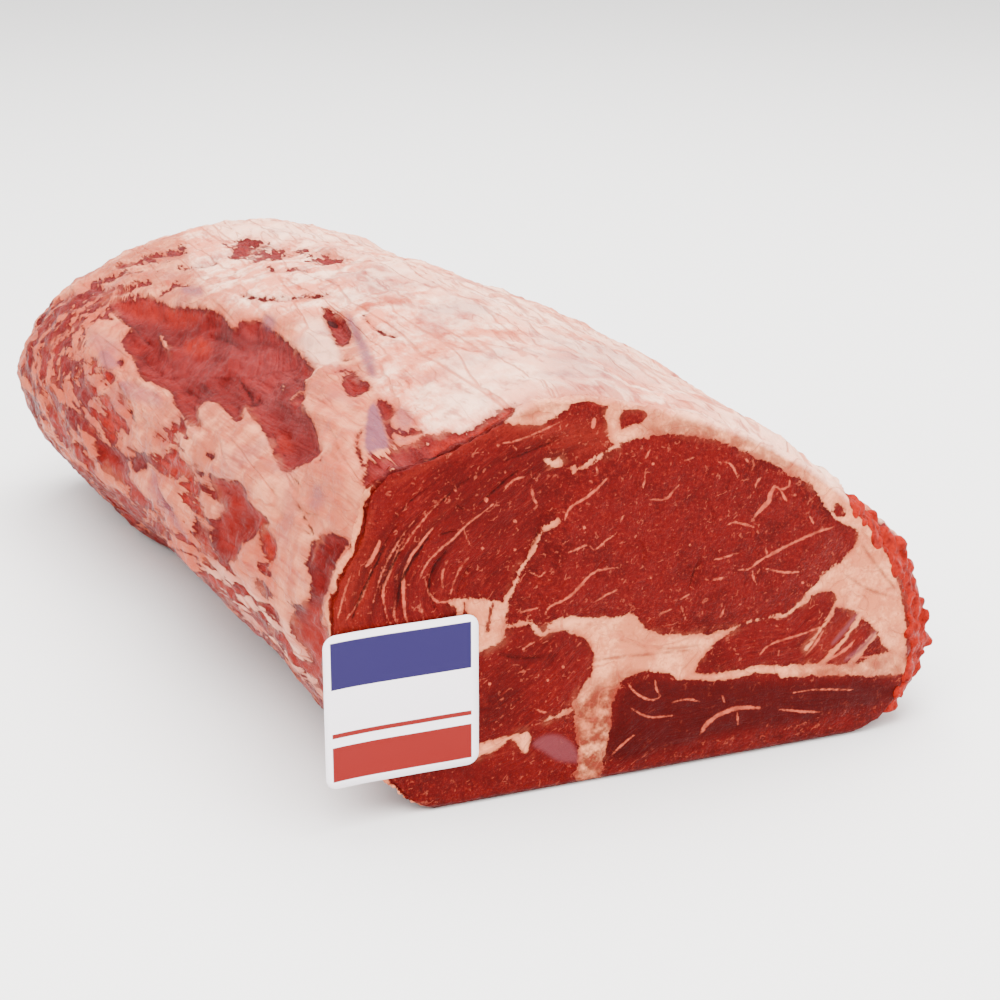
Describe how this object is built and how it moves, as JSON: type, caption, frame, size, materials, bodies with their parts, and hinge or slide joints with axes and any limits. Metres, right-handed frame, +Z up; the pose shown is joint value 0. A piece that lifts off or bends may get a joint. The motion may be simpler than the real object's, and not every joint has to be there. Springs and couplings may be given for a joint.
{
  "type": "raw beef rib roast",
  "caption": "Raw boneless beef rib roast lying fat side up, with a marbled cut face, a thick fat cap, torn fat and lean along its side and a small blank paper label.",
  "frame": {"origin": "middle of the flat base, under the middle of the whole's box", "axes": "+Z up from the base to the fat cap, -Y out of the cut face that carries the label, +X towards the thin rib side"},
  "size_m": [0.2564, 0.3984, 0.1355],
  "materials": {
    "raw_beef": "moist raw beef: red lean with peach and white fat",
    "label_paper": "smooth coated paper with blue and red print fields"
  },
  "bodies": {
    "root": {"rib_roast": "raw_beef", "paper_label": "label_paper"}
  },
  "joints": []
}
